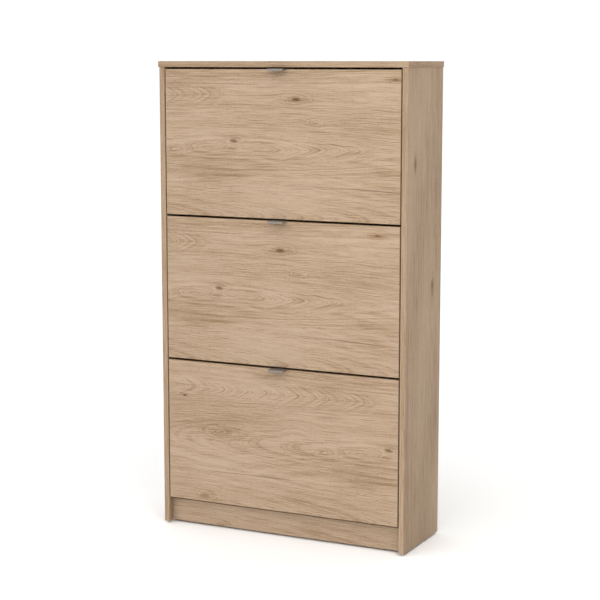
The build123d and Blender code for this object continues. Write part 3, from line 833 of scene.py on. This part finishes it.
def turned(mesh, profile, sides):
    """Add a round solid to a mesh, from points of radius and height. Returns its rings of points."""
    angles = [tau * side / sides for side in range(sides)]
    rings = []
    for radius, height in profile:
        if radius < ON_AXIS:
            rings.append([mesh.verts.new((0, 0, height))])
        else:
            rings.append([mesh.verts.new((radius * cos(a), radius * sin(a), height)) for a in angles])
    for lower, upper in zip(rings, rings[1:]):
        for side in range(sides):
            after = (side + 1) % sides
            corners = [lower[side % len(lower)], lower[after % len(lower)]]
            corners += [upper[after % len(upper)], upper[side % len(upper)]]
            mesh.faces.new(list(dict.fromkeys(corners)))
    return rings


def bevelled_rod(mesh, radius, length, bevel, sides):
    """Add a round rod with bevelled ends to a mesh. Returns its rings of points."""
    profile = [(0, 0), (radius - bevel, 0), (radius, bevel), (radius, length - bevel),
               (radius - bevel, length), (0, length)]
    return turned(mesh, profile, sides)


def cross_recess(mesh, radius, top, depth, rim):
    """A flat top with a cross-shaped pit, joined to the ring of points at its rim."""
    arm = 0.62 * radius
    half = 0.15 * radius
    taper = 0.55
    corners = []
    for quarter in range(4):
        turn = Matrix.Rotation(quarter * pi / 2, 3, "Z")
        for x, y in ((arm, -half), (arm, half), (half, half)):
            corners.append(turn @ Vector((x, y, 0)))
    mouth = [mesh.verts.new((point.x, point.y, top)) for point in corners]
    pit = [mesh.verts.new((point.x * taper, point.y * taper, top - depth)) for point in corners]
    edges = []
    for loop in (rim, mouth):
        for first, second in zip(loop, loop[1:] + loop[:1]):
            edges.append(mesh.edges.get((first, second)) or mesh.edges.new((first, second)))
    bmesh.ops.triangle_fill(mesh, edges=edges, use_beauty=True, use_dissolve=False)
    for index in range(len(mouth)):
        after = (index + 1) % len(mouth)
        mesh.faces.new((mouth[index], mouth[after], pit[after], pit[index]))
    mesh.faces.new(pit)


def facing_matrix(way, place):
    """Turns +Z to another way and moves the origin to a place."""
    return Matrix.Translation(place) @ way.to_track_quat("Z", "Y").to_matrix().to_4x4()


def in_scene(name, data):
    """A new object in the scene."""
    thing = bpy.data.objects.new(name, data)
    bpy.context.scene.collection.objects.link(thing)
    return thing


def make_set(name, node, material, make_one):
    """One piece in place of a CAD node of like solids. make_one adds one to a mesh and gives its seat."""
    whole = bmesh.new()
    for low, high in solid_boxes(node):
        one = bmesh.new()
        one.transform(make_one(one, low, high))
        passing = bpy.data.meshes.new("passing")
        one.to_mesh(passing)
        one.free()
        whole.from_mesh(passing)
        bpy.data.meshes.remove(passing)
    bmesh.ops.recalc_face_normals(whole, faces=whole.faces)
    for face in whole.faces:
        face.smooth = True
    for edge in whole.edges:
        edge.smooth = edge.is_manifold and edge.calc_face_angle(pi) < SMOOTH_ANGLE
    data = bpy.data.meshes.new(name)
    whole.to_mesh(data)
    whole.free()
    data.materials.append(material)
    piece = in_scene(name, data)
    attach(piece, frame["nodes"][node]["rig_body"])
    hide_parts(node)


def screw(mesh, low, high):
    """A pan-head screw with a cross recess, driven forward."""
    settings = bpy.context.scene.cabinet_hardware
    middle = (low + high) / 2
    head = settings.head_height
    radius = (high.z - low.z) / 2
    shank = 0.48 * radius
    length = high.y - low.y - head
    profile = scaled(SCREW_POINT, shank, shank, -length) + [(shank, 0)] + scaled(SCREW_HEAD, radius, head)
    rings = turned(mesh, profile, sides=24)
    cross_recess(mesh, radius, head, settings.recess_depth, rings[-1])
    return facing_matrix(BACKWARD, Vector((middle.x, high.y - head, middle.z)))


class CABINET_OT_screws(bpy.types.Operator):
    """Make the round-headed screws of the handles and racks"""
    bl_idname = "cabinet.screws"
    bl_label = "Screws"

    def execute(self, context):
        zinc = brushed_metal("screw_zinc", "zinc", brush="Y", roughness=0.32)
        for level in LEVELS:
            for use in ("handle", "rack"):
                make_set(f"{level}_{use}_screw_set", f"{level}_{use}_screws", zinc, screw)
        return {"FINISHED"}


def back_nail(mesh, low, high):
    """A flat-headed nail through a back sheet."""
    middle = (low + high) / 2
    sheet_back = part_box("upper_back_sheet")[1].y
    radius = (high.z - low.z) / 2
    shank = radius / 3
    point = scaled(NAIL_POINT, shank, shank, low.y - sheet_back)
    head = scaled(NAIL_HEAD, radius, high.y - sheet_back)
    turned(mesh, point + [(shank, 0)] + head, sides=20)
    return facing_matrix(BACKWARD, Vector((middle.x, sheet_back, middle.z)))


class CABINET_OT_back_nails(bpy.types.Operator):
    """Make the flat-headed nails of the back sheets"""
    bl_idname = "cabinet.back_nails"
    bl_label = "Back nails"

    def execute(self, context):
        zinc = brushed_metal("nail_zinc", "zinc", brush="Z", roughness=0.38)
        make_set("back_nail_set", "back_pins", zinc, back_nail)
        return {"FINISHED"}


def glide(mesh, low, high):
    """A round foot on a nail, from the floor up into a side panel."""
    middle = (low + high) / 2
    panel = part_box("left_side_panel")[0].z
    radius = (high.y - low.y) / 2
    nail = radius / 5.5
    foot = scaled(GLIDE_FOOT, radius, radius) + scaled(GLIDE_TOP, radius, radius, panel)
    spike = [(nail, panel), (nail, high.z - 2 * nail), (0, high.z)]
    turned(mesh, foot + spike, sides=32)
    return Matrix.Translation((middle.x, middle.y, 0))


class CABINET_OT_glides(bpy.types.Operator):
    """Make the four round glides under the side panels"""
    bl_idname = "cabinet.glides"
    bl_label = "Floor glides"

    def execute(self, context):
        pale = moulded_plastic("glide_plastic", "pale", roughness=0.38)
        make_set("floor_glide_set", "floor_glides", pale, glide)
        return {"FINISHED"}


def stop_pin(mesh, low, high):
    """A round pin that lies across the cabinet."""
    middle = (low + high) / 2
    radius = (high.z - low.z) / 2
    bevelled_rod(mesh, radius, high.x - low.x, bevel=0.15 * radius, sides=28)
    return facing_matrix(Vector((1, 0, 0)), Vector((low.x, middle.y, middle.z)))


class CABINET_OT_stop_pins(bpy.types.Operator):
    """Make the round pins that stop the flaps"""
    bl_idname = "cabinet.stop_pins"
    bl_label = "Stop pins"

    def execute(self, context):
        zinc = brushed_metal("pin_zinc", "zinc", brush="X", roughness=0.30)
        make_set("stop_pin_set", "stop_pins", zinc, stop_pin)
        return {"FINISHED"}


def pointing(low, high, axis):
    """The way a fitting points along an axis, which is to the middle, back or down, and its end there."""
    ways = (-1.0 if low.x + high.x > 0 else 1.0, 1.0, -1.0)
    way = Vector([ways[i] if i == axis else 0.0 for i in range(3)])
    return way, (low + high) / 2 + way * (high - low)[axis] / 2


def cam_drum(mesh, radius, depth, rimmed):
    """Add a cam lock to a mesh: below its board's face at 0, a recessed cap and a wall with a gap at +X."""
    rim = 1.1 * radius
    lip = 0.04 * radius
    cap = 0.32 * depth
    hollow = 0.72 * radius
    profile = [(0, -cap), (hollow, -cap), (radius, -cap)]
    if rimmed:
        profile += [(radius, 0), (rim, 0), (rim, 0.4 * lip), (0.98 * rim, lip)]
    else:
        profile += [(radius, -lip), (radius - lip, 0)]
    rings = turned(mesh, profile, sides=36)
    cross_recess(mesh, radius, top=profile[-1][1], depth=0.6 * cap, rim=rings[-1])
    inner, outer = [ring[CAM_HALF_GAP:1 - CAM_HALF_GAP] for ring in rings[1:3]]
    loop = outer + inner[::-1]
    below = [mesh.verts.new((vert.co.x, vert.co.y, -depth)) for vert in loop]
    covered = []
    for i in range(len(inner) - 1):
        covered.append(mesh.faces.get((outer[i], outer[i + 1], inner[i + 1], inner[i])))
        mesh.faces.new((below[i + 1], below[-2 - i], below[-1 - i], below[i]))
    for i in range(len(loop)):
        mesh.faces.new((loop[i], below[i], below[i - 1], loop[i - 1]))
    bmesh.ops.delete(mesh, geom=covered, context="FACES")


def cam_lock(mesh, low, high):
    """A cam lock with its gap at the nearest bolt. It has a rim, unless a back sheet lies on it."""
    size = high - low
    axis = list(size).index(min(size))
    way, face = pointing(low, high, axis)
    seat = facing_matrix(way, face)
    bolts = [seat.inverted() @ ((first + last) / 2) for first, last in solid_boxes("cam_bolts")]
    toward = min(bolts, key=lambda place: place.length)
    under_sheet = face.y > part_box("lower_back_sheet")[0].y - SHEET_MARGIN
    cam_drum(mesh, max(size) / 2, size[axis], not under_sheet)
    return seat @ Matrix.Rotation(atan2(toward.y, toward.x), 4, "Z")


class CABINET_OT_cams(bpy.types.Operator):
    """Make the round cam locks, with the gap of each one at its bolt"""
    bl_idname = "cabinet.cams"
    bl_label = "Cam locks"

    def execute(self, context):
        zinc = brushed_metal("cam_zinc", "zinc", brush="Z", roughness=0.42)
        make_set("cam_lock_set", "cam_locks", zinc, cam_lock)
        return {"FINISHED"}


def thread(root, crest, start, end, ridges):
    """The outline of a screw thread as ridges of radius and height."""
    pitch = (end - start) / ridges
    outline = []
    for ridge in range(ridges):
        outline.append((root, start + pitch * ridge))
        outline.append((crest, start + pitch * (ridge + 0.5)))
    return outline + [(root, end)]


def cam_bolt(mesh, low, high):
    """A bolt with its thread in one board and its head in the cam lock of another."""
    size = high - low
    length = max(size)
    way, head = pointing(low, high, list(size).index(length))
    ridges = thread(root=1.7, crest=2.5, start=0.6, end=8.4, ridges=6)
    turned(mesh, scaled([(0, 0), *ridges, *BOLT_SHANK, *BOLT_HEAD], MM, MM), sides=24)
    return facing_matrix(way, head - way * length)


class CABINET_OT_cam_bolts(bpy.types.Operator):
    """Make the threaded bolts that the cam locks draw in"""
    bl_idname = "cabinet.cam_bolts"
    bl_label = "Cam bolts"

    def execute(self, context):
        zinc = brushed_metal("bolt_zinc", "zinc", brush="X", roughness=0.36)
        make_set("cam_bolt_set", "cam_bolts", zinc, cam_bolt)
        return {"FINISHED"}


def dowel(mesh, low, high):
    """A dowel with bevelled ends and grooves along it."""
    size = high - low
    length = max(size)
    radius = sorted(size)[1] / 2
    way, end = pointing(low, high, list(size).index(length))
    rings = bevelled_rod(mesh, radius, length, bevel=0.3 * radius, sides=24)
    for ring in rings[1:-1]:
        for point in ring[::2]:
            point.co.xy *= DOWEL_GROOVE
    return facing_matrix(-way, end)


class CABINET_OT_dowels(bpy.types.Operator):
    """Make the grooved beech dowels"""
    bl_idname = "cabinet.dowels"
    bl_label = "Dowels"

    def execute(self, context):
        make_set("dowel_set", "wooden_dowels", beech_wood(), dowel)
        return {"FINISHED"}


def pivot_bush(mesh, low, high):
    """A bush with its flange on the inner face of a side panel."""
    way, flange = pointing(low, high, 0)
    turned(mesh, scaled(BUSH_FLANGE + BUSH_BARREL, MM, MM), sides=48)
    bmesh.ops.remove_doubles(mesh, verts=mesh.verts, dist=SAME_POINT)
    return facing_matrix(-way, flange)


class CABINET_OT_bushes(bpy.types.Operator):
    """Make the flanged bushes that carry the pivots of the flaps"""
    bl_idname = "cabinet.bushes"
    bl_label = "Pivot bushes"

    def execute(self, context):
        plastic = moulded_plastic("bush_plastic", "moulding", roughness=0.45)
        make_set("pivot_bush_set", "pivot_bushes", plastic, pivot_bush)
        return {"FINISHED"}


def floor_plane(settings):
    """A wide plain floor under the cabinet."""
    material, sheet, shader = new_material("floor")
    place = sheet.place()
    shader.inputs["Base Color"].default_value = solid(settings.floor)
    roughness = 0.85 + sheet.stray(FLOOR_HAZE, place["X"], place["Y"])
    sheet.feed(shader.inputs["Roughness"], roughness)
    shader.inputs["Specular IOR Level"].default_value = 0.1
    mesh = bmesh.new()
    bmesh.ops.create_circle(mesh, cap_ends=True, segments=96, radius=settings.floor_radius)
    data = bpy.data.meshes.new("floor")
    mesh.to_mesh(data)
    mesh.free()
    data.materials.append(material)
    in_scene("floor", data)


def room_light(settings):
    """White light from all round, stronger from the front and weaker from the right."""
    world = bpy.data.worlds.new("studio")
    world.use_nodes = True
    sheet = NodeSheet(world.node_tree)
    way = sheet.by_axis("Generated")
    forward = sheet.math("MAXIMUM", way["Y"] * -1.0, 0.0)
    right = sheet.ramp(way["X"], *SHADE_EDGE)
    strength = forward * settings.front_wall + settings.sky - right * settings.right_shade
    background = world.node_tree.nodes["Background"]
    background.inputs["Color"].default_value = (1.0, 1.0, 1.0, 1.0)
    sheet.feed(background.inputs["Strength"], strength)
    bpy.context.scene.world = world


def key_light(settings):
    """One large soft lamp above the front."""
    data = bpy.data.lights.new("key", "AREA")
    data.energy = settings.key
    data.color = settings.key_colour
    data.size = settings.key_size
    lamp = in_scene("key", data)
    lamp.location = settings.key_place
    low, high = CAD_BOX
    aim = (low + high) / 2 - Vector(settings.key_place)
    lamp.rotation_euler = aim.to_track_quat("-Z", "Y").to_euler()


def photo_camera(settings):
    """A camera at the photograph's viewing angle."""
    data = bpy.data.cameras.new("camera")
    data.sensor_width = 36.0
    data.lens = settings.lens
    camera = in_scene("camera", data)
    camera.location = settings.camera_place
    camera.rotation_euler = (pi / 2 - settings.camera_dip, 0.0, settings.camera_turn)
    bpy.context.scene.camera = camera


class CABINET_OT_stage(bpy.types.Operator):
    """Set the floor, the light and the camera"""
    bl_idname = "cabinet.stage"
    bl_label = "Stage"

    def execute(self, context):
        settings = context.scene.cabinet_stage
        floor_plane(settings)
        room_light(settings)
        key_light(settings)
        photo_camera(settings)
        context.scene.view_settings.view_transform = "Standard"
        return {"FINISHED"}


OPERATORS = (
    CABINET_OT_flaps, CABINET_OT_carcass, CABINET_OT_back, CABINET_OT_racks, CABINET_OT_handles,
    CABINET_OT_screws, CABINET_OT_back_nails, CABINET_OT_glides, CABINET_OT_stop_pins, CABINET_OT_cams,
    CABINET_OT_cam_bolts, CABINET_OT_dowels, CABINET_OT_bushes, CABINET_OT_stage,
)
SETTINGS = {
    "cabinet_decor": DecorSettings,
    "cabinet_hardware": HardwareSettings,
    "cabinet_stage": StageSettings,
}


class CABINET_PT_panel(bpy.types.Panel):
    """Lists the pieces of the cabinet and their settings"""
    bl_idname = "CABINET_PT_panel"
    bl_label = "Shoe cabinet"
    bl_space_type = "VIEW_3D"
    bl_region_type = "UI"
    bl_category = "Shoe cabinet"

    def draw(self, context):
        for name, group in SETTINGS.items():
            box = self.layout.box()
            for prop in group.__annotations__:
                box.prop(getattr(context.scene, name), prop)
        for operator in OPERATORS:
            self.layout.operator(operator.bl_idname)


def register():
    for name, group in SETTINGS.items():
        bpy.utils.register_class(group)
        setattr(bpy.types.Scene, name, bpy.props.PointerProperty(type=group))
    for operator in OPERATORS:
        bpy.utils.register_class(operator)
    bpy.utils.register_class(CABINET_PT_panel)


def unregister():
    bpy.utils.unregister_class(CABINET_PT_panel)
    for operator in reversed(OPERATORS):
        bpy.utils.unregister_class(operator)
    for name, group in SETTINGS.items():
        delattr(bpy.types.Scene, name)
        bpy.utils.unregister_class(group)


def main():
    """Make every piece and the stage."""
    register()
    bpy.ops.cabinet.flaps()
    bpy.ops.cabinet.carcass()
    bpy.ops.cabinet.back()
    bpy.ops.cabinet.racks()
    bpy.ops.cabinet.handles()
    bpy.ops.cabinet.screws()
    bpy.ops.cabinet.back_nails()
    bpy.ops.cabinet.glides()
    bpy.ops.cabinet.stop_pins()
    bpy.ops.cabinet.cams()
    bpy.ops.cabinet.cam_bolts()
    bpy.ops.cabinet.dowels()
    bpy.ops.cabinet.bushes()
    bpy.ops.cabinet.stage()


if __name__ == "__main__":
    main()
